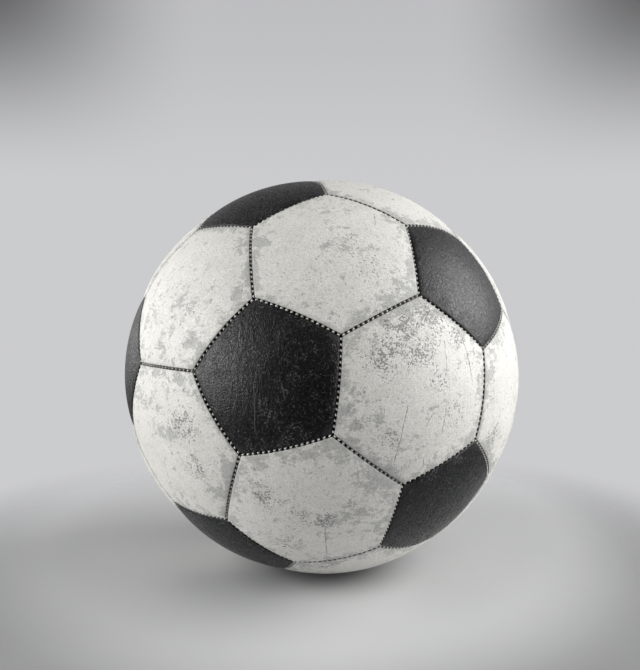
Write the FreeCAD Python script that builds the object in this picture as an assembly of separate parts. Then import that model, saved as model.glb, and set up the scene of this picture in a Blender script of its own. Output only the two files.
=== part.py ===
import FreeCAD, Part
import math
import os

# A size 5 soccer ball, sewn by hand from twelve pentagon panels and twenty hexagon panels.
# Each panel is a coated leather cover with its edges folded in as a hem, padded with foam
# and backed with cloth. The hems are sewn to each other, and a rubber bladder with a
# self-closing valve fills the shell. The origin is the centre of the ball, +Z is up, and
# the ball lies on its lowest point with one pentagon facing the front, which is -Y.

# Driving dimensions, in millimetres and degrees
CIRCUMFERENCE = 690.0     # a size 5 ball measures 680 to 700 round
RIM_DROP = 0.8            # how much lower a panel's rim lies than the middle of its crown
COVER = 1.2               # thickness of the coated leather
HEM = 1.2                 # thickness of the folded edge
HEM_DEPTH = 5.5           # from the crown of a panel to the bottom of its hem
LIP_RADIUS = 1.1          # rounding where the cover folds into the hem
SEAM_GAP = 0.6            # between the hems of two panels
FOAM_DEPTH = 4.2          # from the crown of a panel to the bottom of its foam
LAYER_GAP = 0.1           # glue line between two layers

STITCHES = 17             # per seam
STITCH_PITCH = 2.45       # along the seam
STITCH_DEPTH = 2.8        # from the crown of a panel to the middle of a stitch
THREAD_RADIUS = 0.4
HOLE_RADIUS = 0.45
RUN_WIDTH = 0.6           # thread lying along the hem between two stitches
RUN_HEIGHT = 0.9
RUN_END = 0.3             # how far the thread runs on past the last stitch

BLADDER_DEPTH = 5.7       # from the surface of the ball to the bladder
BLADDER_WALL = 0.9
PATCH_RADIUS = 14.0
PATCH_THICKNESS = 1.0
REINFORCEMENT_RADIUS = 18.0
REINFORCEMENT_THICKNESS = 0.5

VALVE_HOLE_RADIUS = 4.6   # in the cover of the valve panel
VALVE_LAYER_RADIUS = 4.8  # in the foam, the cloth and the bladder
VALVE_SINK = 0.5          # from the crown of the valve panel to the top of the valve
BOSS_RADIUS = 4.3
INNER_BOSS_RADIUS = 4.7
FLANGE_RADIUS = 13.0
FLANGE_THICKNESS = 1.0
VALVE_LENGTH = 13.0
CORE_RADIUS = 2.8
CORE_CLEARANCE = 0.05
NEEDLE_BORE_RADIUS = 1.4  # for the usual 2.5 mm inflation needle
FUNNEL_RADIUS = 2.2
FUNNEL_DEPTH = 0.5

LIP_LENGTH = 5.0
LIP_WIDTH = 4.0
LIP_ROOT_RADIUS = 0.6
LIP_ROOT_OFFSET = 2.05    # from the valve's axis to the middle of a lip's root
LIP_ROOT_GAP = 0.15       # between the core and a lip's root
LIP_TIP_GAP = 0.05        # from the valve's axis to the inside of a closed lip
LIP_TIP_THICKNESS = 0.5

# How the ball lies: where its front pentagon faces and how that pentagon is turned
FACE_AZIMUTH = -13.0
FACE_ELEVATION = 5.4
FACE_TWIST = -14.2
VALVE_TOWARDS = FreeCAD.Vector(0.3, 0.8, 0.5)

BALL_RADIUS = CIRCUMFERENCE / (2 * math.pi)
HEM_BOTTOM = BALL_RADIUS - HEM_DEPTH
FOAM_BOTTOM = BALL_RADIUS - FOAM_DEPTH
STITCH_RADIUS = BALL_RADIUS - STITCH_DEPTH
BLADDER_RADIUS = BALL_RADIUS - BLADDER_DEPTH
BLADDER_INSIDE = BLADDER_RADIUS - BLADDER_WALL
REACH = 1.4 * BALL_RADIUS
PADDING_INSET = SEAM_GAP / 2 + HEM + RUN_WIDTH + 2 * LAYER_GAP
ORIGIN = FreeCAD.Vector(0, 0, 0)
UP = FreeCAD.Vector(0, 0, 1)


def unit(vector):
    """The direction of a vector."""
    return FreeCAD.Vector(vector).normalize()


def icosahedron():
    """The twelve corners of an icosahedron, as directions: the middles of the pentagons."""
    golden = (1 + math.sqrt(5)) / 2
    corners = []
    for one in (-1, 1):
        for long in (-golden, golden):
            corners.append(unit(FreeCAD.Vector(0, one, long)))
            corners.append(unit(FreeCAD.Vector(one, long, 0)))
            corners.append(unit(FreeCAD.Vector(long, 0, one)))
    return corners


def are_neighbours(one, other):
    """Whether two corners of the icosahedron share an edge."""
    return one is not other and one.dot(other) > 0.4


def turned(shape, axis, toward):
    """A copy of a shape with its +Z along axis and its +X on the side of toward."""
    across = axis.cross(toward).normalize()
    side = across.cross(axis)
    matrix = FreeCAD.Matrix(
        side.x, across.x, axis.x, 0,
        side.y, across.y, axis.y, 0,
        side.z, across.z, axis.z, 0,
        0, 0, 0, 1,
    )
    copy = shape.copy()
    copy.Placement = FreeCAD.Placement(matrix)
    return copy


def pentagon_middles():
    """The middles of the twelve pentagons as the ball lies, the front one first."""
    azimuth, elevation, twist = (math.radians(a) for a in (FACE_AZIMUTH, FACE_ELEVATION, FACE_TWIST))
    front = FreeCAD.Vector(
        math.sin(azimuth) * math.cos(elevation),
        -math.cos(azimuth) * math.cos(elevation),
        math.sin(elevation),
    )
    above = unit(UP - front * front.z)
    beside = above.cross(front)
    next_one = above * math.cos(twist) + beside * math.sin(twist)

    corners = icosahedron()
    first = corners[0]
    second = next(c for c in corners if are_neighbours(first, c))
    across = first.cross(second).normalize()
    side = across.cross(first)
    new_across = front.cross(next_one)
    placed = [
        front * c.dot(first) + next_one * c.dot(side) + new_across * c.dot(across)
        for c in corners
    ]
    return sorted(placed, key=lambda c: -round(c.dot(front), 6))


def hexagon_corners(pentagons):
    """For each hexagon, the middles of the three pentagons around it."""
    return [
        (a, b, c)
        for i, a in enumerate(pentagons)
        for j, b in enumerate(pentagons[:i])
        for c in pentagons[:j]
        if are_neighbours(a, b) and are_neighbours(b, c) and are_neighbours(a, c)
    ]


def seam_corner(near, far):
    """The end of a seam: a third of the way from one pentagon's middle to the next one's."""
    return unit(near * 2 + far)


# The angles of a panel, seen from the ball's centre
MIDDLES = pentagon_middles()
EDGE_ANGLE = math.acos(1 / math.sqrt(5))
CORNER_LENGTH = math.sqrt(5 + 4 * math.cos(EDGE_ANGLE))
SEAM_CHORD = 2 * math.sin(EDGE_ANGLE / 2) / CORNER_LENGTH


def corner_angle(sides):
    """Between a panel's middle and one of its corners."""
    return math.asin(SEAM_CHORD / (2 * math.sin(math.pi / sides)))


def edge_angle(sides):
    """Between a panel's middle and the middle of one of its edges."""
    across = SEAM_CHORD / (2 * math.tan(math.pi / sides))
    return math.atan(across / math.cos(corner_angle(sides)))


def wedge(sides, inset):
    """A pyramid from the middle of the ball through a panel's edges, its faces moved in by inset."""
    apex = FreeCAD.Vector(0, 0, inset / math.sin(edge_angle(sides)))
    slope = REACH * math.tan(corner_angle(sides))
    rim = [
        apex + FreeCAD.Vector(slope * math.cos(turn), slope * math.sin(turn), REACH)
        for turn in (2 * math.pi * k / sides for k in range(sides))
    ]
    outlines = [[apex, a, b, apex] for a, b in zip(rim, rim[1:] + rim[:1])]
    outlines.append(rim + rim[:1])
    faces = [Part.Face(Part.makePolygon(outline)) for outline in outlines]
    return Part.Solid(Part.Shell(faces))


def ball(radius, height=0):
    """A ball on the Z axis, with its poles on its sides and its seam line underneath."""
    return Part.makeSphere(radius, UP * height, FreeCAD.Vector(-1, 0, 0))


def crown(sides, depth):
    """The ball a panel's surface belongs to: it stands proud in the middle of the panel."""
    rim = BALL_RADIUS - RIM_DROP
    height = (BALL_RADIUS ** 2 - rim ** 2) / (2 * (BALL_RADIUS - rim * math.cos(edge_angle(sides))))
    return ball(BALL_RADIUS - height - depth, height)


def stitch_holes(sides):
    """The drills for the stitch holes through the hems of one panel."""
    drills = []
    tilt = edge_angle(sides)
    for k in range(sides):
        turn = 2 * math.pi * (k + 0.5) / sides
        level = FreeCAD.Vector(math.cos(turn), math.sin(turn), 0)
        middle = level * math.sin(tilt) + UP * math.cos(tilt)
        inward = UP * math.sin(tilt) - level * math.cos(tilt)
        along = UP.cross(level)
        for angle in stitch_angles():
            place = (middle * math.cos(angle) + along * math.sin(angle)) * STITCH_RADIUS
            drills.append(Part.makeCylinder(HOLE_RADIUS, SEAM_GAP / 2 + HEM + LAYER_GAP, place, inward))
    return drills


def stitch_angles():
    """Where the stitches lie along a seam, as angles about the middle of the ball."""
    return [(n - (STITCHES - 1) / 2) * STITCH_PITCH / STITCH_RADIUS for n in range(STITCHES)]


def cover(sides):
    """One panel's cover: a crowned sheet with rounded lips, hemmed and punched all round."""
    block = wedge(sides, SEAM_GAP / 2).common(crown(sides, 0))
    block = block.cut(ball(HEM_BOTTOM))
    half_way = BALL_RADIUS - HEM_DEPTH / 2
    rim = [edge for edge in block.Edges if all(v.Point.Length > half_way for v in edge.Vertexes)]
    block = block.makeFillet(LIP_RADIUS, rim)
    recess = wedge(sides, SEAM_GAP / 2 + HEM).common(crown(sides, COVER))
    return block.cut(recess).cut(stitch_holes(sides)).Solids[0]


def padding(sides):
    """The foam under one panel's cover."""
    pad = wedge(sides, PADDING_INSET).common(crown(sides, COVER + LAYER_GAP))
    return pad.cut(ball(FOAM_BOTTOM)).Solids[0]


def backing(sides):
    """The cloth lining under one panel's foam."""
    cloth = wedge(sides, PADDING_INSET).common(ball(FOAM_BOTTOM - LAYER_GAP))
    return cloth.cut(ball(HEM_BOTTOM)).Solids[0]


def bored(shape, radius):
    """A panel layer with the valve's hole through its middle."""
    return shape.cut(Part.makeCylinder(radius, REACH)).Solids[0]


def seam_thread():
    """The thread of one seam: a stitch through each pair of holes, joined along both hems.

    The seam lies in the XZ plane with its middle on +Z.
    """
    run_inside = SEAM_GAP / 2 + HEM + LAYER_GAP
    run_outside = run_inside + RUN_WIDTH
    reach = stitch_angles()[-1] + RUN_END / STITCH_RADIUS
    low = STITCH_RADIUS - RUN_HEIGHT / 2
    high = STITCH_RADIUS + RUN_HEIGHT / 2
    runs = []
    for side in (-1, 1):
        outline = [
            FreeCAD.Vector(0, side * y, z)
            for y, z in ((run_inside, low), (run_outside, low), (run_outside, high), (run_inside, high))
        ]
        section = Part.Face(Part.makePolygon(outline + outline[:1]))
        section.rotate(ORIGIN, FreeCAD.Vector(0, 1, 0), -math.degrees(reach))
        runs.append(section.revolve(ORIGIN, FreeCAD.Vector(0, 1, 0), 2 * math.degrees(reach)))
    stitch_end = (run_inside + run_outside) / 2
    stitches = []
    for angle in stitch_angles():
        start = FreeCAD.Vector(STITCH_RADIUS * math.sin(angle), -stitch_end, STITCH_RADIUS * math.cos(angle))
        stitches.append(Part.makeCylinder(THREAD_RADIUS, 2 * stitch_end, start, FreeCAD.Vector(0, 1, 0)))
    return runs[0].fuse(runs[1:] + stitches).Solids[0]


def shell_slice(outside, thickness, radius):
    """A round patch cut from a hollow ball, in the middle of its +Z side."""
    disc = ball(outside).cut(ball(outside - thickness))
    return disc.common(Part.makeCylinder(radius, REACH)).Solids[0]


def bladder():
    """The rubber bladder, with the valve's hole at the top."""
    rubber = ball(BLADDER_RADIUS).cut(ball(BLADDER_INSIDE))
    return rubber.cut(Part.makeCylinder(VALVE_LAYER_RADIUS, REACH)).Solids[0]


def valve_top():
    """How far out the top of the valve lies."""
    return BALL_RADIUS - VALVE_SINK


def valve_body():
    """The valve's rubber housing: a flange inside the bladder and a boss through the shell."""
    top = valve_top()
    flange_outside = BLADDER_INSIDE - 2 * LAYER_GAP - REINFORCEMENT_THICKNESS
    flange = shell_slice(flange_outside, FLANGE_THICKNESS, FLANGE_RADIUS)
    waist = flange_outside - FLANGE_THICKNESS / 2
    boss = Part.makeCylinder(BOSS_RADIUS, top - waist, UP * waist)
    inner_boss = Part.makeCylinder(INNER_BOSS_RADIUS, waist - top + VALVE_LENGTH, UP * (top - VALVE_LENGTH))
    pocket = Part.makeCylinder(CORE_RADIUS + CORE_CLEARANCE, REACH)
    return flange.fuse([boss, inner_boss]).cut(pocket).Solids[0]


def valve_core():
    """The valve's soft plug, with the needle's bore and a funnel to find it."""
    top = valve_top()
    plug = Part.makeCylinder(CORE_RADIUS, VALVE_LENGTH, UP * (top - VALVE_LENGTH))
    bore = Part.makeCylinder(NEEDLE_BORE_RADIUS, VALVE_LENGTH, UP * (top - VALVE_LENGTH))
    funnel = Part.makeCone(NEEDLE_BORE_RADIUS, FUNNEL_RADIUS, FUNNEL_DEPTH, UP * (top - FUNNEL_DEPTH))
    return plug.cut([bore, funnel]).Solids[0]


def lip_root():
    """How far out the hinge lines of the valve's lips lie."""
    return valve_top() - VALVE_LENGTH - LIP_ROOT_GAP - LIP_ROOT_RADIUS


def valve_lip():
    """One of the two lips that close the needle's bore, on the +X side of the valve."""
    root = lip_root()
    tip = root - LIP_LENGTH
    outline = [
        FreeCAD.Vector(LIP_ROOT_OFFSET - LIP_ROOT_RADIUS, -LIP_WIDTH / 2, root),
        FreeCAD.Vector(LIP_TIP_GAP, -LIP_WIDTH / 2, tip),
        FreeCAD.Vector(LIP_TIP_GAP + LIP_TIP_THICKNESS, -LIP_WIDTH / 2, tip),
        FreeCAD.Vector(LIP_ROOT_OFFSET + LIP_ROOT_RADIUS, -LIP_WIDTH / 2, root),
    ]
    across = FreeCAD.Vector(0, LIP_WIDTH, 0)
    blade = Part.Face(Part.makePolygon(outline + outline[:1])).extrude(across)
    hinge = Part.makeCylinder(
        LIP_ROOT_RADIUS,
        LIP_WIDTH,
        FreeCAD.Vector(LIP_ROOT_OFFSET, -LIP_WIDTH / 2, root),
        FreeCAD.Vector(0, 1, 0),
    )
    return blade.fuse(hinge).Solids[0]


def write(node, solids):
    """Write one node's solids to its own file."""
    shape = solids[0] if len(solids) == 1 else Part.makeCompound(solids)
    problems = [n for n, solid in enumerate(solids) if not solid.isValid()]
    print(node, len(solids), "solids", round(shape.Volume, 1), "mm3", "invalid:", problems)
    shape.exportStep(f"parts/{node}.step")


def write_panels():
    """The covers, their foam and their linings."""
    hexagons = [unit(a + b + c) for a, b, c in hexagon_corners(MIDDLES)]
    hexagon_ends = [seam_corner(a, b) for a, b, c in hexagon_corners(MIDDLES)]
    pentagon_ends = [next(m for m in MIDDLES if are_neighbours(middle, m)) for middle in MIDDLES]
    valve_side = min(range(len(hexagons)), key=lambda n: -hexagons[n].dot(VALVE_TOWARDS))

    pentagon_layers = [make(5) for make in (cover, padding, backing)]
    hexagon_layers = [make(6) for make in (cover, padding, backing)]
    holes = (VALVE_HOLE_RADIUS, VALVE_LAYER_RADIUS, VALVE_LAYER_RADIUS)
    valve_layers = [bored(layer, radius) for layer, radius in zip(hexagon_layers, holes)]

    for number, (axis, toward) in enumerate(zip(MIDDLES, pentagon_ends), 1):
        write(f"pentagon_panel_{number:02d}", [turned(pentagon_layers[0], axis, toward)])
    plain = [n for n in range(len(hexagons)) if n != valve_side]
    for number, n in enumerate(plain, 1):
        write(f"hexagon_panel_{number:02d}", [turned(hexagon_layers[0], hexagons[n], hexagon_ends[n])])
    write("valve_panel", [turned(valve_layers[0], hexagons[valve_side], hexagon_ends[valve_side])])

    for layer, name in ((1, "foam"), (2, "lining")):
        write(f"pentagon_{name}", [turned(pentagon_layers[layer], a, t) for a, t in zip(MIDDLES, pentagon_ends)])
        plain_layers = [turned(hexagon_layers[layer], hexagons[n], hexagon_ends[n]) for n in plain]
        valve_layer = turned(valve_layers[layer], hexagons[valve_side], hexagon_ends[valve_side])
        write(f"hexagon_{name}", plain_layers + [valve_layer])
    return hexagons[valve_side], hexagon_ends[valve_side]


def write_threads():
    """The threads of the 60 seams round the pentagons and the 30 seams between hexagons."""
    thread = seam_thread()
    pentagon_seams = []
    hexagon_seams = []
    for a, b, c in hexagon_corners(MIDDLES):
        for near, one, other in ((a, b, c), (b, c, a), (c, a, b)):
            ends = seam_corner(near, one), seam_corner(near, other)
            pentagon_seams.append(turned(thread, unit(ends[0] + ends[1]), ends[1]))
    for i, a in enumerate(MIDDLES):
        for b in MIDDLES[:i]:
            if are_neighbours(a, b):
                hexagon_seams.append(turned(thread, unit(a + b), b))
    write("pentagon_seam_thread", pentagon_seams)
    write("hexagon_seam_thread", hexagon_seams)


def write_bladder(axis, toward):
    """The bladder, its balance patch, and the valve, about the valve's axis."""
    reinforcement = bored(
        shell_slice(BLADDER_INSIDE - LAYER_GAP, REINFORCEMENT_THICKNESS, REINFORCEMENT_RADIUS),
        VALVE_LAYER_RADIUS,
    )
    patch = shell_slice(BLADDER_INSIDE - LAYER_GAP, PATCH_THICKNESS, PATCH_RADIUS)
    right_lip = valve_lip()
    left_lip = right_lip.mirror(ORIGIN, FreeCAD.Vector(1, 0, 0))
    write("bladder", [turned(bladder(), axis, toward)])
    write("balance_patch", [turned(patch, axis * -1, toward)])
    write("valve_reinforcement", [turned(reinforcement, axis, toward)])
    write("valve_body", [turned(valve_body(), axis, toward)])
    write("valve_core", [turned(valve_core(), axis, toward)])
    write("valve_lip_right", [turned(right_lip, axis, toward)])
    write("valve_lip_left", [turned(left_lip, axis, toward)])


def main():
    os.makedirs("parts", exist_ok=True)
    axis, toward = write_panels()
    write_threads()
    write_bladder(axis, toward)


main()
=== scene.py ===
import math

import bpy
import numpy as np
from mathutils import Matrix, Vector, noise


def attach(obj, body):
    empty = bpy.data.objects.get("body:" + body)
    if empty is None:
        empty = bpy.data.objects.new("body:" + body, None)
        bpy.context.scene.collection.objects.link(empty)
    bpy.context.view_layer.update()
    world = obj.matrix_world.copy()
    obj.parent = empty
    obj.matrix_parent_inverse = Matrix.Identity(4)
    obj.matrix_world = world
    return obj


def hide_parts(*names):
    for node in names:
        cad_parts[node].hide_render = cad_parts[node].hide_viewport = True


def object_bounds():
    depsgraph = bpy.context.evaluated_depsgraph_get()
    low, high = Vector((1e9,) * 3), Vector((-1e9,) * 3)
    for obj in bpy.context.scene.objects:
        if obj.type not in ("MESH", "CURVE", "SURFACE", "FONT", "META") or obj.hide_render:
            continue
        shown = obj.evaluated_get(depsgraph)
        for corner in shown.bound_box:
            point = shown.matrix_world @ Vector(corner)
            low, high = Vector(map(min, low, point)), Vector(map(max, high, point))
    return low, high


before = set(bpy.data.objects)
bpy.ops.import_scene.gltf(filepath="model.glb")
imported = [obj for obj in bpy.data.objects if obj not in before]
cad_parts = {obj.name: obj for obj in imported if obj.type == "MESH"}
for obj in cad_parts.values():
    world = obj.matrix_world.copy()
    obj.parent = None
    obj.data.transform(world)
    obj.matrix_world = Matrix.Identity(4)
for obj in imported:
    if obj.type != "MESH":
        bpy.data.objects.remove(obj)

# A worn, hand-sewn soccer ball on a studio floor. Lengths are in metres and angles in radians,
# except where a name says degrees or MM. The ball's centre is the origin and the front is -Y.
MM = 0.001
CAD_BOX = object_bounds()
BALL_RADIUS = 109.8 * MM
BODY = "ball"

# The leather panels
RIM_DROP = 0.8 * MM           # how much lower a panel's rim lies than the middle of its crown
HALF_GAP = 0.34 * MM          # from the middle of a seam to a hem
LIP_WIDTH = 0.7 * MM          # how far the cover takes to bend down into its hem
LIP_DEPTH = 1.15 * MM
HEM_THICKNESS = 1.2 * MM
HEM_DEPTH = 5.3 * MM
COVER_THICKNESS = 1.15 * MM
CORNER_SOFTNESS = 0.3 * MM
VALVE_HOLE_RADIUS = 4.6 * MM
VALVE_LIP = 0.7 * MM
SEAM_CHORD = 0.40355          # between a panel's corners, over the ball's radius
SEAM_BOW = 0.7 * MM           # how far a pentagon's edges bow out between its corners
SWELL = 0.22 * MM             # how far the padding lifts the cover away from its seams
SWELL_WIDTH = 2.0 * MM

# The stitches
STITCHES = 17                 # per seam
STITCH_PITCH = 2.62 * MM
STITCH_REACH = 0.36 * MM      # from the middle of a stitch to where it turns down
STITCH_SLANT = 0.08 * MM      # how far its ends lie to either side of the seam
STITCH_SINK = 0.55 * MM       # from the rim to the middle of a stitch's thread
STITCH_DIP = 1.7 * MM         # how much deeper its ends lie
THREAD_RADIUS = 0.35 * MM
PULL = 0.1 * MM               # how far a stitch draws the lips in and down


# Where the panels lie

def middle_of(node):
    """The direction of a CAD node's centre of volume."""
    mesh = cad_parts[node].data
    mesh.calc_loop_triangles()
    points = np.array([v.co for v in mesh.vertices])
    corners = points[np.array([t.vertices[:] for t in mesh.loop_triangles])]
    volumes = np.einsum("ij,ij->i", corners[:, 0], np.cross(corners[:, 1], corners[:, 2]))
    centre = (corners.sum(axis=1) * volumes[:, None]).sum(axis=0) / volumes.sum()
    return centre / np.linalg.norm(centre)


def unit(vector):
    return vector / np.linalg.norm(vector)


def panel_nodes(*starts):
    """The CAD nodes whose names begin in one of these ways, with their middles."""
    return {name: middle_of(name) for name in sorted(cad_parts) if name.startswith(starts)}


PENTAGONS = panel_nodes("pentagon_panel")
HEXAGONS = panel_nodes("hexagon_panel", "valve_panel")


def pentagons_around(direction, count):
    """The middles of the pentagons nearest to a direction, itself left out."""
    others = [m for m in PENTAGONS.values() if m @ direction < 0.999]
    return sorted(others, key=lambda m: -(m @ direction))[:count]


def seam_corner(near, far):
    """The end of a seam: a third of the way from one pentagon's middle to the next one's."""
    return unit(2 * near + far)


def turn_of(axis, corner):
    """The matrix that turns +Z to a panel's middle and +X towards one of its corners."""
    across = unit(np.cross(axis, corner))
    return np.column_stack([np.cross(across, axis), across, axis])


def undulation(directions):
    """How far the worn ball's surface stands in or out, for an array of directions."""
    waves = ((1.9, 0.30 * MM), (5.5, 0.07 * MM))
    total = np.zeros(len(directions))
    for frequency, height in waves:
        total += height * np.array([noise.noise(Vector(d * frequency + 7.0)) for d in directions])
    return total - 0.12 * MM


# Panel meshes

def corner_angle(sides):
    """Between a panel's middle and one of its corners, seen from the ball's centre."""
    return math.asin(SEAM_CHORD / (2 * math.sin(math.pi / sides)))


def edge_angle(sides):
    """Between a panel's middle and the middle of one of its edges."""
    across = SEAM_CHORD / (2 * math.tan(math.pi / sides))
    return math.atan(across / math.cos(corner_angle(sides)))


def crown(angles, sides):
    """How far out a panel's surface lies at these angles from its middle."""
    rim = BALL_RADIUS - RIM_DROP
    shift = (BALL_RADIUS ** 2 - rim ** 2) / (2 * (BALL_RADIUS - rim * math.cos(edge_angle(sides))))
    radius = BALL_RADIUS - shift
    return shift * np.cos(angles) + np.sqrt(radius ** 2 - (shift * np.sin(angles)) ** 2)


def around(sides, count):
    """Turns about a panel's middle that divide each of its edges into count equal steps."""
    half = math.asin(SEAM_CHORD / 2)
    along = np.linspace(-half, half, count, endpoint=False)
    step = np.arctan2(np.sin(along), np.cos(along) * math.sin(edge_angle(sides)))
    middles = 2 * math.pi * (np.arange(sides) + 0.5) / sides
    return (middles[:, None] + step[None, :]).ravel()


def bow(sides, side, along):
    """How far a panel's edge stands out from a great circle, at these angles from the edge's middle.

    Pentagons bow out, so hexagons bow in where they meet them, on every second edge.
    """
    height = SEAM_BOW if sides == 5 else -SEAM_BOW * (side % 2)
    return height * np.clip(1 - (along / math.asin(SEAM_CHORD / 2)) ** 2, 0, 1)


def boundary(turns, sides, inset):
    """The angle from a panel's middle to a line that runs inset from its seams, its corners rounded."""
    tilt = edge_angle(sides)
    reach = []
    for side in range(sides):
        turn = turns - 2 * math.pi * (side + 0.5) / sides
        away = np.maximum(np.cos(turn), 1e-3)
        along = np.arctan2(np.sin(turn) * math.sin(tilt), away)
        level = math.cos(tilt) * away
        slope = np.hypot(level, math.sin(tilt))
        distance = inset - bow(sides, side, along)
        reach.append(np.arctan2(math.sin(tilt), level) - np.arcsin(distance / (BALL_RADIUS * slope)))
    softness = CORNER_SOFTNESS / BALL_RADIUS
    return -softness * np.log(sum(np.exp(-angles / softness) for angles in reach))


def seam_place(points, sides):
    """For points in a panel's own frame: the distance from the nearest seam, and the place along it."""
    tilt = edge_angle(sides)
    nearest = np.full(len(points), np.inf)
    along = np.zeros(len(points))
    for side in range(sides):
        turn = 2 * math.pi * (side + 0.5) / sides
        level = np.array([math.cos(turn), math.sin(turn), 0])
        inward = np.array([0, 0, math.sin(tilt)]) - level * math.cos(tilt)
        middle = np.array([0, 0, math.cos(tilt)]) + level * math.sin(tilt)
        tangent = np.array([-level[1], level[0], 0])
        angle = np.arctan2(points @ tangent, points @ middle)
        distance = points @ inward + bow(sides, side, angle)
        closer = distance < nearest
        nearest[closer] = distance[closer]
        along[closer] = angle[closer] * BALL_RADIUS
    return nearest, along


def stitch_pull(along):
    """1 at a stitch and 0 half-way to the next one, fading at the ends of the seam."""
    inside = np.clip(STITCHES / 2 + 0.2 - np.abs(along) / STITCH_PITCH, 0, 1)
    return inside * (0.5 + 0.5 * np.cos(2 * math.pi * along / STITCH_PITCH))


def ring_rows(sides, hole):
    """The rings of a panel's mesh from its middle, over the rim and back underneath.

    Each is the number of steps along an edge, a function that gives the angles from the middle
    for an array of turns, and the depth under the crown. hole is the radius of a hole in the middle.
    """
    lip_start = HALF_GAP + LIP_WIDTH
    hole_angle = (hole + VALVE_LIP) / BALL_RADIUS if hole else 0
    most = 6 * STITCHES
    least = 12 if hole else 2
    hem_bottom = HEM_DEPTH - RIM_DROP
    rows = []

    def ring(count, angles, depth):
        rows.append((count, angles, depth))

    def inward(share):
        return lambda t: hole_angle + share * (boundary(t, sides, lip_start) - hole_angle)

    def inset(distance):
        return lambda t: boundary(t, sides, distance)

    if hole:
        for bend in np.radians([90, 60, 30]):
            angle = (hole + VALVE_LIP * (1 - math.sin(bend))) / BALL_RADIUS
            ring(least, lambda t, a=angle: np.full(len(t), a), VALVE_LIP * (1 - math.cos(bend)))
    reach = BALL_RADIUS * edge_angle(sides)
    shares = list(np.linspace(0 if hole else 0.03, 1 - 5.4 * MM / reach, 30))
    shares += [1 - distance * MM / reach for distance in (4.3, 3.4, 2.6, 1.9, 1.25, 0.6)]
    for share in shares:
        wanted = 1.15 * share * reach / MM * (1.6 if share > 0.9 else 1)
        ring(int(min(most, max(least, wanted))), inward(share), 0)
    ring(most, inward(1), 0)
    for bend in np.radians([15, 30, 45, 60, 75, 90]):
        ring(most, inset(HALF_GAP + LIP_WIDTH * (1 - math.sin(bend))), LIP_DEPTH * (1 - math.cos(bend)))
    ring(most, inset(HALF_GAP), 1.9 * MM)
    ring(most // 2, inset(HALF_GAP), 3.2 * MM)
    ring(most // 2, inset(HALF_GAP), hem_bottom)
    ring(most // 2, inset(HALF_GAP + HEM_THICKNESS), hem_bottom)
    ring(most // 4, inset(HALF_GAP + HEM_THICKNESS), COVER_THICKNESS)
    for share in (0.8, 0.55, 0.3, 0 if hole else 0.1):
        ring(max(least, int(16 * share)), inward(share), COVER_THICKNESS)
    if hole:
        ring(least, lambda t: np.full(len(t), hole / BALL_RADIUS), COVER_THICKNESS)
    return rows


def join_rings(first, second):
    """The faces between two closed rings of points, which may hold different numbers of points."""
    if len(first) == len(second):
        after = np.roll(np.arange(len(first)), -1)
        return [(first[i], second[i], second[j], first[j]) for i, j in enumerate(after)]
    faces = []
    i = j = 0
    while i < len(first) or j < len(second):
        if j * len(first) <= i * len(second) and j < len(second):
            faces.append((first[i % len(first)], second[j], second[(j + 1) % len(second)]))
            j += 1
        else:
            faces.append((first[i], second[j % len(second)], first[(i + 1) % len(first)]))
            i += 1
    return faces


def panel_form(sides, hole=0):
    """A panel in its own frame: its points, its faces, and the numbers its material reads.

    Those numbers are the distances to the nearest seam and corner in millimetres, and one that
    is 0 beside a stitch and 1 between two. Only the panel's outside swells and is pulled in.
    """
    points = []
    faces = []
    rings = []
    tops = []
    for count, angle_of, depth in ring_rows(sides, hole):
        turns = around(sides, count)
        angles = angle_of(turns)
        out = crown(angles, sides) - depth
        level = np.sin(angles) * out
        ring = np.column_stack([level * np.cos(turns), level * np.sin(turns), np.cos(angles) * out])
        rings.append(np.arange(len(ring)) + sum(len(r) for r in rings))
        points.append(ring)
        tops.append(np.full(len(ring), 1.0 if depth < COVER_THICKNESS - 0.1 * MM else 0.0))
    for first, second in zip(rings, rings[1:]):
        faces += join_rings(first, second)
    points = np.vstack(points)
    tops = np.concatenate(tops)
    if hole:
        faces += join_rings(rings[-1], rings[0])
    else:
        top, bottom = len(points), len(points) + 1
        height = crown(np.zeros(1), sides)[0]
        points = np.vstack([points, [0, 0, height], [0, 0, height - COVER_THICKNESS]])
        tops = np.append(tops, [1.0, 0.0])
        faces += [(top, a, b) for a, b in zip(rings[0], np.roll(rings[0], -1))]
        faces += [(a, bottom, b) for a, b in zip(rings[-1], np.roll(rings[-1], -1))]
    distance, along = seam_place(points, sides)
    pull = stitch_pull(along) * PULL * np.exp(-((distance - HALF_GAP) / (0.9 * MM)) ** 2)
    swell = SWELL * (1 - np.exp(-(distance / SWELL_WIDTH) ** 2))
    points *= (1 + (swell - pull) * tops / BALL_RADIUS)[:, None]
    values = {
        "seam": distance / MM,
        "corner": corner_place(points, sides) / MM,
        "between": 1 - stitch_pull(along),
    }
    return points, faces, values


def corner_place(points, sides):
    """For points in a panel's own frame: the distance from the nearest corner."""
    angle = corner_angle(sides)
    turns = 2 * math.pi * np.arange(sides) / sides
    level = math.sin(angle)
    height = np.full(sides, math.cos(angle))
    corners = np.column_stack([level * np.cos(turns), level * np.sin(turns), height])
    return np.linalg.norm(points[:, None] - BALL_RADIUS * corners[None], axis=2).min(axis=1)


def new_mesh(name, points, faces, values=None):
    """A smooth-shaded mesh object, with named numbers stored at its points."""
    mesh = bpy.data.meshes.new(name)
    mesh.from_pydata(points.tolist(), [], [tuple(int(i) for i in face) for face in faces])
    mesh.polygons.foreach_set("use_smooth", [True] * len(mesh.polygons))
    for key, numbers in (values or {}).items():
        stored = mesh.attributes.new(key, "FLOAT", "POINT")
        stored.data.foreach_set("value", np.asarray(numbers, dtype=np.float32))
    mesh.update()
    piece = bpy.data.objects.new(name, mesh)
    bpy.context.scene.collection.objects.link(piece)
    return piece


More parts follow.
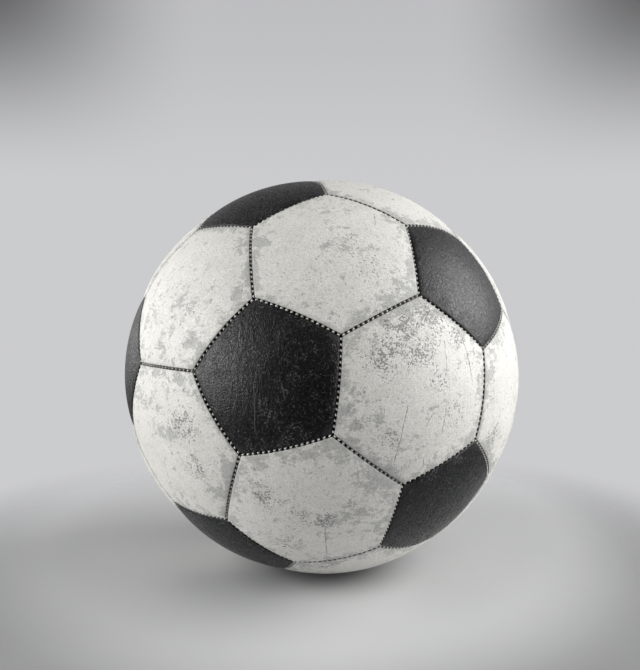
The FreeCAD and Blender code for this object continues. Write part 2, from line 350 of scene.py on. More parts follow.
def add_panel(node, axis, corner, form, material):
    """One leather panel in the place of its CAD node."""
    points, faces, values = form
    placed = points @ turn_of(axis, corner).T
    lengths = np.linalg.norm(placed, axis=1)
    directions = placed / lengths[:, None]
    placed = directions * (lengths + undulation(directions))[:, None]
    piece = new_mesh(node.replace("panel", "leather"), placed, faces, values)
    piece.data.materials.append(material)
    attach(piece, BODY)
    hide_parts(node)


# Stitches

def stitch_form():
    """One stitch of two-ply thread. X runs along the seam, Y across it and Z outwards."""
    steps = 9
    around_count = 8
    spin = np.linspace(0, 2 * math.pi, around_count, endpoint=False)
    swing = np.linspace(-math.pi / 2, math.pi / 2, steps)
    path = np.column_stack([
        STITCH_REACH * np.sin(swing),
        STITCH_SLANT * np.sin(swing),
        -STITCH_SINK - STITCH_DIP * (1 - np.cos(swing)) ** 1.5,
    ])
    heading = np.gradient(path, axis=0)
    heading /= np.linalg.norm(heading, axis=1)[:, None]
    points = []
    for place, ahead, share in zip(path, heading, swing):
        side = unit(np.cross([0, 0, 1], ahead))
        out = np.cross(ahead, side)
        radius = THREAD_RADIUS * (1 + 0.10 * np.cos(2 * (spin - 1.6 * share)))
        ring = np.outer(radius * np.cos(spin), side) + np.outer(radius * np.sin(spin), out)
        points.append(place + ring)
    rings = [np.arange(around_count) + n * around_count for n in range(steps)]
    faces = []
    for first, second in zip(rings, rings[1:]):
        faces += join_rings(first[::-1], second[::-1])
    faces.append(tuple(rings[0][::-1]))
    faces.append(tuple(rings[-1]))
    return np.vstack(points), faces


def seam_stitches(start, end, pentagon, form):
    """The points of one seam's stitches. The seam bows away from the pentagon's middle, if it has one."""
    middle = unit(start + end)
    tangent = unit(end - start)
    rim = BALL_RADIUS - RIM_DROP
    height = 0 if pentagon is None else SEAM_BOW / BALL_RADIUS
    if height and np.cross(middle, tangent) @ pentagon > 0:
        tangent = -tangent
    away = np.cross(middle, tangent)
    half = math.asin(SEAM_CHORD / 2)
    placed = []
    for number in range(STITCHES):
        angle = (number - (STITCHES - 1) / 2) * STITCH_PITCH / BALL_RADIUS
        aside = away * height * (1 - (angle / half) ** 2)
        drift = away * height * 2 * angle / half ** 2
        outward = unit(middle * math.cos(angle) + tangent * math.sin(angle) + aside)
        forward = tangent * math.cos(angle) - middle * math.sin(angle) - drift
        across = unit(np.cross(outward, forward))
        base = outward * (rim + undulation([outward])[0])
        placed.append(base + form @ np.array([np.cross(across, outward), across, outward]))
    return placed


def add_thread(name, node, seams, material):
    """The stitches of several seams as one piece, in the place of their CAD node."""
    form, form_faces = stitch_form()
    stitches = [points for seam in seams for points in seam_stitches(*seam, form)]
    firsts = range(0, len(stitches) * len(form), len(form))
    faces = [tuple(first + i for i in face) for first in firsts for face in form_faces]
    piece = new_mesh(name, np.vstack(stitches), faces)
    piece.data.materials.append(material)
    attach(piece, BODY)
    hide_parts(node)


def seams_round_pentagons():
    """Both ends of the 60 seams between a pentagon and a hexagon, and the pentagon's middle."""
    seams = []
    for middle in HEXAGONS.values():
        a, b, c = pentagons_around(middle, 3)
        for near, one, other in ((a, b, c), (b, c, a), (c, a, b)):
            seams.append((seam_corner(near, one), seam_corner(near, other), near))
    return seams


def seams_between_hexagons():
    """Both ends of the 30 seams between two hexagons, with no pentagon: they follow great circles."""
    names = sorted(PENTAGONS)
    return [
        (seam_corner(PENTAGONS[a], PENTAGONS[b]), seam_corner(PENTAGONS[b], PENTAGONS[a]), None)
        for i, a in enumerate(names)
        for b in names[:i]
        if 0.4 < PENTAGONS[a] @ PENTAGONS[b] < 0.5
    ]


# Materials

class Recipe:
    """Builds the nodes of a material or a world: each method adds nodes and returns an output."""

    def __init__(self, owner, coordinates="Object"):
        owner.use_nodes = True
        self.owner = owner
        self.tree = owner.node_tree
        self.place = self.node("ShaderNodeTexCoord").outputs[coordinates]

    def node(self, kind, **settings):
        made = self.tree.nodes.new(kind)
        for key, value in settings.items():
            setattr(made, key, value)
        return made

    def feed(self, socket, value):
        if isinstance(value, bpy.types.NodeSocket):
            self.tree.links.new(value, socket)
        else:
            socket.default_value = value

    def maths(self, operation, *values):
        made = self.node("ShaderNodeMath", operation=operation)
        for socket, value in zip(made.inputs, values):
            self.feed(socket, value)
        return made.outputs[0]

    def plus(self, one, other):
        return self.maths("ADD", one, other)

    def minus(self, one, other):
        return self.maths("SUBTRACT", one, other)

    def times(self, one, other):
        return self.maths("MULTIPLY", one, other)

    def most(self, one, other):
        return self.maths("MAXIMUM", one, other)

    def span(self, value, low, high, to_low=0.0, to_high=1.0):
        """Takes value from low..high to to_low..to_high, eased and held at both ends."""
        made = self.node("ShaderNodeMapRange", interpolation_type="SMOOTHSTEP", clamp=True)
        for socket, number in zip(made.inputs, (value, low, high, to_low, to_high)):
            self.feed(socket, number)
        return made.outputs[0]

    def noise(self, size, detail=2.0, roughness=0.5, distortion=0.0, stretch=None, at=None):
        """Noise whose features are about size metres across."""
        made = self.node("ShaderNodeTexNoise")
        self.feed(made.inputs["Vector"], self.scaled(stretch, at) if stretch else at or self.place)
        self.feed(made.inputs["Scale"], 1 / size)
        self.feed(made.inputs["Detail"], detail)
        self.feed(made.inputs["Roughness"], roughness)
        self.feed(made.inputs["Distortion"], distortion)
        return made.outputs["Fac"]

    def cells(self, size, feature="F1", at=None):
        """Distance to the nearest of many scattered points, about size metres apart."""
        made = self.node("ShaderNodeTexVoronoi", feature=feature)
        self.feed(made.inputs["Vector"], at or self.place)
        self.feed(made.inputs["Scale"], 1 / size)
        return made.outputs["Distance"]

    def scaled(self, stretch, at=None):
        made = self.node("ShaderNodeVectorMath", operation="MULTIPLY")
        self.feed(made.inputs[0], at or self.place)
        made.inputs[1].default_value = stretch
        return made.outputs[0]

    def shifted(self, strength, size):
        """The place, pushed about by noise."""
        wander = self.node("ShaderNodeTexNoise")
        self.feed(wander.inputs["Vector"], self.place)
        self.feed(wander.inputs["Scale"], 1 / size)
        centred = self.node("ShaderNodeVectorMath", operation="SUBTRACT")
        self.feed(centred.inputs[0], wander.outputs["Color"])
        centred.inputs[1].default_value = (0.5, 0.5, 0.5)
        grown = self.node("ShaderNodeVectorMath", operation="SCALE")
        self.feed(grown.inputs[0], centred.outputs[0])
        grown.inputs["Scale"].default_value = strength
        total = self.node("ShaderNodeVectorMath", operation="ADD")
        self.feed(total.inputs[0], grown.outputs[0])
        self.feed(total.inputs[1], self.place)
        return total.outputs[0]

    def blend(self, amount, one, other):
        """The colour one where amount is 0 and other where it is 1."""
        made = self.node("ShaderNodeMix", data_type="RGBA")
        self.feed(made.inputs["Factor"], amount)
        self.feed(made.inputs["A"], one)
        self.feed(made.inputs["B"], other)
        return made.outputs["Result"]

    def attribute(self, name):
        return self.node("ShaderNodeAttribute", attribute_name=name).outputs["Fac"]

    def distance_to(self, azimuth, elevation, at=None):
        """Metres from the point of the ball that lies this many degrees to the right and up."""
        made = self.node("ShaderNodeVectorMath", operation="DISTANCE")
        self.feed(made.inputs[0], at or self.place)
        made.inputs[1].default_value = towards(azimuth, elevation) * BALL_RADIUS
        return made.outputs["Value"]

    def bump(self, height, depth, under=None):
        """A relief whose height of 1 stands depth metres out, on top of another relief."""
        made = self.node("ShaderNodeBump")
        made.inputs["Distance"].default_value = depth
        self.feed(made.inputs["Height"], height)
        if under:
            self.feed(made.inputs["Normal"], under)
        return made.outputs[0]

    def finish(self, colour, roughness, normal, specular=0.5):
        shader = self.tree.nodes["Principled BSDF"]
        self.feed(shader.inputs["Base Color"], colour)
        self.feed(shader.inputs["Roughness"], roughness)
        self.feed(shader.inputs["Normal"], normal)
        shader.inputs["Specular IOR Level"].default_value = specular
        return self.owner


def new_recipe(name):
    return Recipe(bpy.data.materials.new(name))


def towards(azimuth, elevation):
    """A direction, in degrees to the right of the front and up from the level."""
    side, rise = math.radians(azimuth), math.radians(elevation)
    return Vector((math.sin(side) * math.cos(rise), -math.cos(side) * math.cos(rise), math.sin(rise)))


# Hairline scratches on the front, each from one (azimuth, elevation) to another
WHITE_SCRATCHES = (
    ((31.5, 14.5), (31.2, 5.6)),
    ((37.6, 15.8), (40.3, 2.8)),
    ((20.4, -0.1), (17.6, -15.9)),
    ((31.1, -1.3), (30.2, -8.9)),
    ((25.7, -14.3), (26.5, -16.8)),
    ((22.3, 52.3), (19.7, 46.7)),
    ((0.8, -32.8), (1.9, -47.3)),
)
BLACK_SCRATCHES = (
    ((-16.0, 5.7), (-15.7, -8.2)),
    ((-9.5, 5.2), (-8.3, 0.4)),
)
# Where the white coat has worn to grey: (azimuth, elevation, radius in mm, strength)
WORN_SPOTS = (
    (23, 27, 11, 1.0), (17, 24, 9, 0.9), (28, 33, 7, 0.7),
    (-20, 40, 6, 0.9), (-20, 33, 5, 0.7), (35, 50, 9, 0.6),
    (4, -12, 9, 1.0), (10, -17, 8, 1.0), (15, -21, 10, 1.0), (8, -29, 11, 0.7), (-9, -12, 6, 0.8),
    (-17, -23, 7, 0.8), (-25, -17, 6, 1.0), (-29, -24, 6, 0.9), (-24, -22, 5, 0.8),
    (-46, 13, 7, 0.8), (-34, 14, 7, 0.8), (-43, 24, 7, 0.7), (-23, 25, 4, 0.7),
    (-49, -3, 8, 0.8), (-43, -10, 8, 0.7), (8, 1, 5, 0.7), (7, -5, 5, 0.6),
    (41, -10, 6, 0.7), (44, 0, 5, 0.6), (55, 12, 9, 0.7), (26, 21, 8, 0.6),
)
# Clusters of dark specks, in the same terms
SPECK_SPOTS = (
    (20, 17, 12, 1.0), (28, 19, 9, 1.0), (15, 11, 10, 0.9), (24, 12, 10, 0.9), (29, 5, 6, 0.8),
    (34, -4, 6, 0.7), (16, -9, 6, 0.6), (-36, -7, 9, 0.9), (-34, -18, 8, 0.7), (-15, -24, 7, 0.8),
    (5, 38, 10, 0.4), (13, 33, 8, 0.5), (33, 21, 7, 1.0), (36, 15, 6, 0.8),
)
# Cloudy scuffs on the black panels, in the same terms
SCUFF_SPOTS = (
    (-12, -3, 7, 1.0), (-7, -8, 5, 0.7), (-15, 12, 6, 0.7), (-8, 6, 5, 0.5), (-26, 8, 5, 0.4),
    (-33, -34, 8, 1.0), (-26, -41, 7, 0.8), (30, -19, 7, 0.9), (36, -15, 6, 0.8), (-22, 50, 7, 0.8),
)
# Where the black panels are creased, in the same terms
CREASE_SPOTS = (
    (-10, 16, 6, 1.0), (-9, 11, 4, 0.8), (-21, -9, 4, 0.7), (62, 10, 6, 0.6), (-28, 53, 6, 0.6),
)


def spots(recipe, places, at):
    """A field of soft round spots, 1 in the middle of the strongest."""
    total = 0.0
    for azimuth, elevation, radius, strength in places:
        away = recipe.distance_to(azimuth, elevation, at)
        total = recipe.most(total, recipe.span(away, 0.0, 1.6 * radius * MM, strength, 0.0))
    return total


def scratches(recipe, places, width, at):
    """Lines along great circles, 1 in the middle of a line."""
    total = 0.0
    for start, end in places:
        one, other = towards(*start), towards(*end)
        across = one.cross(other).normalized()
        middle = (one + other).normalized()
        along = across.cross(middle)
        half = BALL_RADIUS * one.angle(other) / 2
        parts = []
        for direction in (across, along, middle):
            product = recipe.node("ShaderNodeVectorMath", operation="DOT_PRODUCT")
            recipe.feed(product.inputs[0], at)
            product.inputs[1].default_value = direction
            parts.append(product.outputs["Value"])
        line = recipe.span(recipe.maths("ABSOLUTE", parts[0]), 0.4 * width, width, 1.0, 0.0)
        ends = recipe.span(recipe.maths("ABSOLUTE", parts[1]), 0.75 * half, half, 1.0, 0.0)
        front = recipe.maths("GREATER_THAN", parts[2], 0.0)
        total = recipe.most(total, recipe.times(line, recipe.times(ends, front)))
    return total


def stray_scratches(recipe, size, seed):
    """Faint hairlines all over, where a stretched noise crosses its middle value."""
    warped = recipe.scaled((1.0, 1.0, 0.22 + 0.01 * seed), recipe.shifted(6 * MM, 30 * MM))
    field = recipe.noise(size, detail=0.0, at=warped)
    line = recipe.span(recipe.maths("ABSOLUTE", recipe.minus(field, 0.5)), 0.0, 0.006, 1.0, 0.0)
    where = recipe.span(recipe.noise(14 * MM, detail=2.0), 0.6, 0.68)
    return recipe.times(line, where)


def leather_grain(recipe, size):
    """The height of pebbled leather: rounded cells with finer noise over them."""
    wandering = recipe.shifted(0.6 * size, 1.3 * size)
    pebbles = recipe.cells(size, "F1", wandering)
    rounded = recipe.span(pebbles, 0.1, 0.8, 1.0, 0.0)
    return recipe.plus(rounded, recipe.times(recipe.noise(0.5 * size, detail=2.0), 0.5))


def seam_shadow(recipe, seam):
    """1 in the black of a seam, which is wider between two stitches."""
    edge = recipe.plus(0.50, recipe.times(recipe.attribute("between"), 0.28))
    return recipe.span(recipe.minus(seam, edge), -0.08, 0.08, 0.97, 0.0)


def white_leather():
    """Pebbled white leather, soiled, rubbed and pitted."""
    recipe = new_recipe("white_leather")
    seam = recipe.attribute("seam")
    wandering = recipe.shifted(3 * MM, 6 * MM)
    near_seam = recipe.span(seam, 0.0, 11.0, 1.0, 0.0)

    # the coat has rubbed to grey in ragged strokes, more of them beside the seams
    ragged = recipe.noise(6 * MM, detail=7.0, roughness=0.72, distortion=0.3)
    cloud = recipe.noise(26 * MM, detail=2.0)
    crumbs = recipe.noise(1.1 * MM, detail=3.0, roughness=0.7)
    strokes = recipe.noise(
        2.2 * MM, detail=4.0, roughness=0.72, distortion=0.6, stretch=(0.6, 0.6, 1.25),
    )
    wear = recipe.plus(ragged, recipe.times(near_seam, 0.13))
    wear = recipe.plus(wear, recipe.times(spots(recipe, WORN_SPOTS, wandering), 0.15))
    wear = recipe.plus(wear, recipe.span(cloud, 0.35, 0.7, -0.05, 0.04))
    halo = recipe.span(wear, 0.53, 0.72)
    flakes = recipe.plus(wear, recipe.times(strokes, 0.6))
    patch = recipe.times(recipe.span(flakes, 0.86, 0.95), recipe.span(crumbs, 0.3, 0.62, 0.45, 1.0))

    # clusters of dark specks where the coat is pitted, and scratches
    grit = recipe.noise(0.9 * MM, detail=2.0, roughness=0.6)
    cluster = spots(recipe, SPECK_SPOTS, wandering)
    cluster = recipe.most(cluster, recipe.span(cloud, 0.6, 0.72, 0.0, 0.7))
    cluster = recipe.times(cluster, recipe.span(recipe.noise(4 * MM, detail=3.0), 0.32, 0.56))
    specks = recipe.span(recipe.plus(grit, recipe.times(cluster, 0.23)), 0.63, 0.71)

    strays = recipe.times(stray_scratches(recipe, 16 * MM, 1), 0.6)
    bent = recipe.shifted(1.2 * MM, 9 * MM)
    lines = recipe.most(scratches(recipe, WHITE_SCRATCHES, 0.3 * MM, bent), strays)
    lines = recipe.times(lines, recipe.span(recipe.noise(1.6 * MM, detail=2.0), 0.35, 0.6, 0.45, 1.0))

    # colour: the mottled coat, then each kind of wear, then dirt and painted shade beside the seams, and
    # the painted shadow in their grooves
    mottle = recipe.noise(9 * MM, detail=4.0, roughness=0.6)
    brushed = recipe.noise(1.0 * MM, detail=3.0, roughness=0.65, stretch=(1.0, 1.0, 0.3))
    colour = recipe.blend(recipe.span(mottle, 0.3, 0.7), (0.69, 0.675, 0.63, 1), (0.76, 0.75, 0.715, 1))
    colour = recipe.blend(recipe.span(brushed, 0.38, 0.72, 0.0, 0.42), colour, (0.54, 0.53, 0.50, 1))
    colour = recipe.blend(recipe.span(crumbs, 0.5, 0.75, 0.0, 0.4), colour, (0.50, 0.495, 0.47, 1))
    pebbles = leather_grain(recipe, 0.7 * MM)
    # painted shade: the colour is darker in the hollows of the grain
    colour = recipe.blend(recipe.span(pebbles, 0.35, 0.95, 0.42, 0.0), colour, (0.46, 0.455, 0.43, 1))
    colour = recipe.blend(recipe.times(halo, 0.25), colour, (0.50, 0.50, 0.475, 1))
    colour = recipe.blend(recipe.times(patch, 0.68), colour, (0.27, 0.275, 0.265, 1))
    colour = recipe.blend(recipe.times(specks, 0.8), colour, (0.15, 0.15, 0.145, 1))
    colour = recipe.blend(recipe.times(lines, 0.75), colour, (0.10, 0.10, 0.095, 1))
    # dirt mixed with painted shade: the coat darkens within a few millimetres of a seam, where the groove
    # would shade it
    dirt_and_painted_seam_shade = recipe.times(recipe.span(seam, 0.8, 3.6, 1.0, 0.0), recipe.span(mottle, 0.3, 0.7, 0.1, 0.4))
    colour = recipe.blend(dirt_and_painted_seam_shade, colour, (0.36, 0.35, 0.33, 1))
    # painted shade: the lips darken where the cover bends down into its seam
    colour = recipe.blend(recipe.span(seam, 0.5, 1.1, 0.5, 0.0), colour, (0.20, 0.195, 0.18, 1))
    colour = recipe.blend(seam_shadow(recipe, seam), colour, (0.004, 0.004, 0.004, 1))

    # relief
    normal = recipe.bump(pebbles, 0.03 * MM)
    normal = recipe.bump(brushed, 0.05 * MM, normal)
    marks = recipe.plus(patch, recipe.plus(specks, lines))
    normal = recipe.bump(recipe.minus(1.0, marks), 0.05 * MM, normal)
    roughness = recipe.plus(recipe.span(mottle, 0.3, 0.7, 0.42, 0.54), recipe.times(patch, 0.2))
    return recipe.finish(colour, roughness, normal, specular=0.4)


def black_leather():
    """Glossy black leather, with a grain that catches the light, scuffed and creased."""
    recipe = new_recipe("black_leather")
    seam = recipe.attribute("seam")
    near_seam = recipe.span(seam, 0.0, 9.0, 1.0, 0.0)
    wandering = recipe.shifted(5 * MM, 6 * MM)
    mottle = recipe.noise(11 * MM, detail=5.0, roughness=0.62)
    ragged = recipe.noise(5 * MM, detail=7.0, roughness=0.7, distortion=0.5)
    crumbs = recipe.noise(0.8 * MM, detail=3.0, roughness=0.7)
    pebbles = leather_grain(recipe, 0.6 * MM)
    sparkle = recipe.noise(0.78 * MM, detail=1.0, stretch=(1.0, 1.0, 0.85))

    # cloudy scuffs, corners rubbed smooth and grey, and creases beside the seams
    wear = recipe.plus(ragged, recipe.times(near_seam, 0.06))
    wear = recipe.plus(wear, recipe.span(mottle, 0.3, 0.7, -0.06, 0.06))
    wear = recipe.plus(wear, recipe.times(spots(recipe, SCUFF_SPOTS, wandering), 0.16))
    scuff = recipe.span(recipe.plus(wear, recipe.times(crumbs, 0.45)), 0.76, 0.92)
    corner = recipe.plus(recipe.attribute("corner"), recipe.times(ragged, 9.0))
    rubbed = recipe.span(corner, 6.5, 10.0, 1.0, 0.0)
    folds = recipe.noise(4.0 * MM, detail=2.0, distortion=1.2, stretch=(1.0, 1.0, 0.4))
    crease = recipe.span(recipe.maths("ABSOLUTE", recipe.minus(folds, 0.5)), 0.0, 0.035, 1.0, 0.0)
    creased = recipe.times(recipe.span(seam, 2.0, 13.0, 0.7, 0.0), recipe.span(mottle, 0.5, 0.64))
    creased = recipe.most(creased, spots(recipe, CREASE_SPOTS, wandering))
    crease = recipe.times(crease, creased)
    strays = recipe.times(stray_scratches(recipe, 13 * MM, 2), 0.8)
    bent = recipe.shifted(1.2 * MM, 9 * MM)
    lines = recipe.most(scratches(recipe, BLACK_SCRATCHES, 0.28 * MM, bent), strays)

    # colour: black, with grey tips on the grain, partly worn and partly a painted glint
    dark = (0.001, 0.001, 0.0013, 1)
    light = (0.0022, 0.0022, 0.0026, 1)
    colour = recipe.blend(recipe.span(mottle, 0.3, 0.7), dark, light)
    worn_tips_and_painted_glint = recipe.blend(scuff, (0.030, 0.030, 0.033, 1), (0.085, 0.086, 0.089, 1))
    colour = recipe.blend(recipe.span(sparkle, 0.52, 0.66), colour, worn_tips_and_painted_glint)
    colour = recipe.blend(recipe.times(rubbed, 0.7), colour, (0.032, 0.032, 0.032, 1))
    colour = recipe.blend(recipe.times(crease, 0.5), colour, (0.070, 0.070, 0.070, 1))
    colour = recipe.blend(recipe.times(lines, 0.45), colour, (0.12, 0.12, 0.12, 1))
    colour = recipe.blend(seam_shadow(recipe, seam), colour, (0.002, 0.002, 0.002, 1))

    # relief, which the rubbed corners have less of
    smooth = recipe.minus(1.0, recipe.times(rubbed, 0.7))
    normal = recipe.bump(recipe.times(pebbles, smooth), 0.06 * MM)
    normal = recipe.bump(recipe.times(sparkle, smooth), 0.17 * MM, normal)
    marks = recipe.plus(recipe.times(scuff, 0.6), lines)
    normal = recipe.bump(recipe.minus(1.0, marks), 0.05 * MM, normal)
    normal = recipe.bump(folds, 0.25 * MM, normal)
    roughness = recipe.plus(recipe.span(sparkle, 0.42, 0.58, 0.44, 0.24), recipe.times(scuff, 0.2))
    return recipe.finish(colour, roughness, normal, specular=0.27)


def waxed_thread():
    recipe = new_recipe("waxed_thread")
    fibres = recipe.noise(0.12 * MM, detail=3.0, roughness=0.7)
    soil = recipe.noise(5 * MM, detail=3.0)
    colour = recipe.blend(recipe.span(soil, 0.35, 0.7), (0.88, 0.87, 0.83, 1), (0.66, 0.64, 0.59, 1))
    colour = recipe.blend(recipe.span(fibres, 0.3, 0.75, 0.0, 0.35), colour, (0.42, 0.40, 0.36, 1))
    rough = recipe.span(fibres, 0.3, 0.7, 0.5, 0.75)
    return recipe.finish(colour, rough, recipe.bump(fibres, 0.05 * MM), specular=0.4)


def moulded_rubber(name, dark, light, roughness):
    """Smooth rubber with a fine moulded grain and dust in its low places."""
    recipe = new_recipe(name)
    grain = recipe.noise(0.3 * MM, detail=4.0, roughness=0.6)
    dust = recipe.noise(3 * MM, detail=5.0, roughness=0.65)
    colour = recipe.blend(recipe.span(dust, 0.4, 0.75), (*dark, 1), (*light, 1))
    rough = recipe.span(dust, 0.3, 0.7, roughness - 0.08, roughness + 0.1)
    return recipe.finish(colour, rough, recipe.bump(grain, 0.02 * MM), specular=0.45)


WAVES_PER_SCALE = 0.314       # a Wave Texture of this scale has one band per unit of length


def woven_cloth(name, light, dark, pitch):
    """Plain-weave cloth: two crossed sets of threads, one over and one under."""
    recipe = new_recipe(name)
    heights = []
    for direction in ("X", "Z"):
        wave = recipe.node("ShaderNodeTexWave", bands_direction=direction)
        recipe.feed(wave.inputs["Vector"], recipe.place)
        wave.inputs["Scale"].default_value = WAVES_PER_SCALE / pitch
        wave.inputs["Distortion"].default_value = 0.3
        heights.append(wave.outputs["Fac"])
    weave = recipe.most(*heights)
    colour = recipe.blend(recipe.span(weave, 0.2, 0.9), (*dark, 1), (*light, 1))
    rough = recipe.span(weave, 0.0, 1.0, 0.95, 0.8)
    return recipe.finish(colour, rough, recipe.bump(weave, 0.15 * MM), specular=0.2)


def closed_cell_foam():
    recipe = new_recipe("closed_cell_foam")
    cells = recipe.cells(0.8 * MM)
    tone = recipe.noise(6 * MM, detail=3.0)
    colour = recipe.blend(recipe.span(cells, 0.1, 0.7), (0.60, 0.56, 0.45, 1), (0.82, 0.79, 0.68, 1))
    colour = recipe.blend(recipe.span(tone, 0.4, 0.7, 0.0, 0.4), colour, (0.72, 0.66, 0.50, 1))
    rough = recipe.span(cells, 0.0, 0.8, 0.9, 0.75)
    return recipe.finish(colour, rough, recipe.bump(cells, 0.2 * MM), specular=0.25)


def dress(node, material):
    """Gives a CAD node that stays a better material."""
    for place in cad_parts[node].material_slots:
        place.material = material


# The ball

def build_panels():
    white = white_leather()
    black = black_leather()
    pentagon = panel_form(5)
    hexagon = panel_form(6)
    with_hole = panel_form(6, VALVE_HOLE_RADIUS)
    for node, axis in PENTAGONS.items():
        corner = seam_corner(axis, pentagons_around(axis, 1)[0])
        add_panel(node, axis, corner, pentagon, black)
    for node, axis in HEXAGONS.items():
        a, b, _ = pentagons_around(axis, 3)
        near, far = (a, b) if np.cross(axis, a) @ b > 0 else (b, a)
        form = with_hole if node == "valve_panel" else hexagon
        add_panel(node, axis, seam_corner(near, far), form, white)


def build_seams():
    thread = waxed_thread()
    add_thread("pentagon_stitches", "pentagon_seam_thread", seams_round_pentagons(), thread)
    add_thread("hexagon_stitches", "hexagon_seam_thread", seams_between_hexagons(), thread)


def dress_inside():
    foam = closed_cell_foam()
    lining = woven_cloth("lining_cloth", (0.80, 0.79, 0.74), (0.45, 0.44, 0.40), 0.6 * MM)
    ring = woven_cloth("rubberised_cloth", (0.28, 0.27, 0.25), (0.10, 0.10, 0.09), 0.8 * MM)
    butyl = moulded_rubber("butyl_rubber", (0.020, 0.020, 0.021), (0.05, 0.05, 0.048), 0.55)
    body = moulded_rubber("valve_rubber", (0.012, 0.012, 0.012), (0.06, 0.058, 0.052), 0.5)
    soft = moulded_rubber("soft_rubber", (0.035, 0.035, 0.035), (0.10, 0.097, 0.09), 0.6)
    materials = {
        "pentagon_foam": foam,
        "hexagon_foam": foam,
        "pentagon_lining": lining,
        "hexagon_lining": lining,
        "bladder": butyl,
        "balance_patch": butyl,
        "valve_reinforcement": ring,
        "valve_body": body,
        "valve_core": soft,
        "valve_lip_left": soft,
        "valve_lip_right": soft,
    }
    for node, material in materials.items():
        dress(node, material)


# The studio

BACKDROP = (0.60, 0.602, 0.615)
ROOM_LIGHT = (0.36, 0.362, 0.367)
FLOOR_FADE = (0.15, 0.31)     # from the middle, over which the floor fades into the backdrop
FLOOR_GAP = 0.15 * MM         # between the CAD box and the floor, since the visual covers bulge
CAMERA_PITCH = 4.0            # degrees down
CAMERA_LENS = 42.0            # for a sensor 36 wide
CAMERA_DISTANCE = 4.1 * BALL_RADIUS
BALL_BELOW_AXIS = 2.85        # degrees from the middle of the view down to the ball's centre
BALL_RIGHT_OF_AXIS = 0.12     # degrees
# name: degrees to the right of the front, degrees up, metres from the ball, metres wide, watts
LIGHTS = {
    "left_softbox": (-72, 12, 1.6, 1.1, 33),
    "left_rim_softbox": (-122, 12, 1.6, 0.9, 5),
    "right_softbox": (70, 14, 1.6, 1.2, 29),
    "right_rim_softbox": (102, 27, 1.6, 0.9, 19),
    "front_softbox": (-5, 58, 1.8, 1.2, 3),
}


def floor_material():
    """Pale, with painted shade towards its rim and a painted shadow under the ball, and fading into the
    backdrop.
    """
    recipe = new_recipe("studio_floor")
    tone = recipe.noise(0.4, detail=2.0)
    colour = recipe.blend(recipe.span(tone, 0.3, 0.7), (0.49, 0.492, 0.496, 1), (0.52, 0.522, 0.526, 1))
    # painted shade: the floor darkens towards its rim, around a middle a little behind the ball
    offset = recipe.node("ShaderNodeVectorMath", operation="DISTANCE")
    recipe.feed(offset.inputs[0], recipe.scaled((1.0, 0.8, 0.0)))
    offset.inputs[1].default_value = (-0.012, 0.08, 0)
    outer = recipe.span(offset.outputs["Value"], 0.165, 0.240, 0.0, 0.58)
    colour = recipe.blend(outer, colour, (0, 0, 0, 1))
    away = recipe.node("ShaderNodeVectorMath", operation="LENGTH")
    recipe.feed(away.inputs[0], recipe.place)
    distance = away.outputs["Value"]
    # painted shadow: the floor darkens within about 7 cm of the point under the ball
    painted_ball_shadow = recipe.span(distance, 0.012, 0.066, 0.75, 0.0)
    colour = recipe.blend(painted_ball_shadow, colour, (0, 0, 0, 1))
    material = recipe.finish(colour, 0.6, recipe.bump(tone, 0.1 * MM), specular=0.2)
    shader = recipe.tree.nodes["Principled BSDF"]
    recipe.feed(shader.inputs["Alpha"], recipe.span(distance, *FLOOR_FADE, 1.0, 0.0))
    return material


def add_floor():
    """A disc just under the ball."""
    bpy.ops.mesh.primitive_circle_add(
        vertices=128,
        radius=FLOOR_FADE[1],
        fill_type="NGON",
        location=(0, 0, CAD_BOX[0][2] - FLOOR_GAP),
    )
    floor = bpy.context.object
    floor.name = "studio_floor"
    floor.data.materials.append(floor_material())


def add_light(name, azimuth, elevation, distance, size, power):
    """A square soft light that faces the ball."""
    data = bpy.data.lights.new(name, "AREA")
    data.shape = "SQUARE"
    data.size = size
    data.energy = power
    lamp = bpy.data.objects.new(name, data)
    lamp.location = towards(azimuth, elevation) * distance
    lamp.rotation_euler = (-lamp.location).to_track_quat("-Z", "Y").to_euler()
    bpy.context.scene.collection.objects.link(lamp)


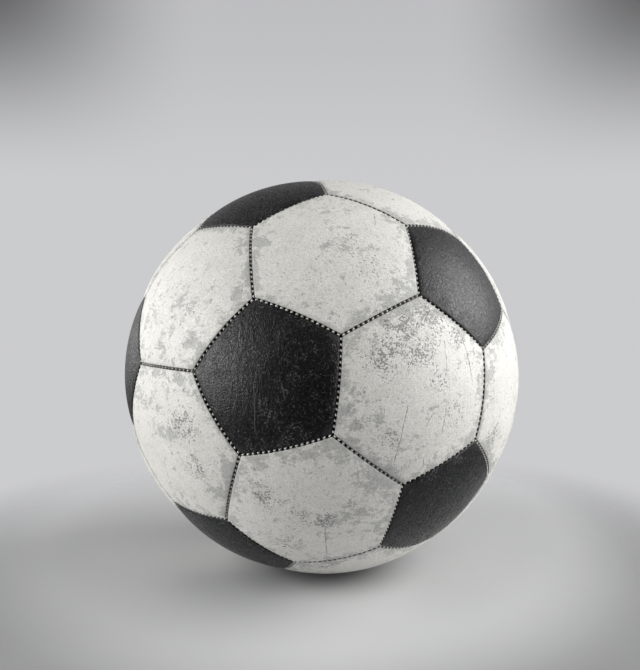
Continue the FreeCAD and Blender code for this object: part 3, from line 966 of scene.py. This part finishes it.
def add_backdrop():
    """A pale backdrop with painted shade upwards and at its corners, in a room of dimmer light."""
    world = bpy.data.worlds.new("studio")
    recipe = Recipe(world, "Generated")
    split = recipe.node("ShaderNodeSeparateXYZ")
    recipe.feed(split.inputs[0], recipe.place)
    x, y, z = split.outputs
    # painted shade: the backdrop darkens upwards and in soft patches that repeat every 45 degrees around,
    # where the corners of the view lie
    height = recipe.span(z, 0.11, 0.34)
    aside = recipe.maths("PINGPONG", recipe.maths("ARCTAN2", x, y), math.pi / 8)
    corner = recipe.times(height, recipe.span(aside, 0.14, 0.42))
    dark = recipe.plus(recipe.times(height, 0.14), recipe.times(corner, 0.70))
    backdrop = recipe.blend(dark, (*BACKDROP, 1), (0, 0, 0, 1))
    level = recipe.times(recipe.span(y, -0.5, 0.9, 0.05, 1.0), recipe.span(z, -0.4, 0.1, 0.3, 1.0))
    level = recipe.most(level, recipe.span(z, -0.4, -0.05, 0.36, 0.0))
    room = recipe.blend(level, (0, 0, 0, 1), (*ROOM_LIGHT, 1))
    seen = recipe.node("ShaderNodeLightPath").outputs["Is Camera Ray"]
    recipe.feed(recipe.tree.nodes["Background"].inputs["Color"], recipe.blend(seen, room, backdrop))
    bpy.context.scene.world = world


def add_camera():
    """The camera, a little above the level, with the ball low in its view."""
    pitch = math.radians(CAMERA_PITCH)
    ahead = Vector((0, math.cos(pitch), -math.sin(pitch)))
    down = Vector((0, -math.sin(pitch), -math.cos(pitch)))
    right = Vector((1, 0, 0))
    below = math.tan(math.radians(BALL_BELOW_AXIS))
    aside = math.tan(math.radians(BALL_RIGHT_OF_AXIS))
    line = ahead + down * below + right * aside
    data = bpy.data.cameras.new("camera")
    data.lens = CAMERA_LENS
    data.sensor_width = 36.0
    camera = bpy.data.objects.new("camera", data)
    camera.location = -line.normalized() * CAMERA_DISTANCE
    camera.rotation_euler = (math.pi / 2 - pitch, 0, 0)
    bpy.context.scene.collection.objects.link(camera)
    bpy.context.scene.camera = camera


def build_studio():
    add_floor()
    add_backdrop()
    for name, settings in LIGHTS.items():
        add_light(name, *settings)
    add_camera()
    bpy.context.scene.view_settings.view_transform = "Standard"


build_panels()
build_seams()
dress_inside()
build_studio()
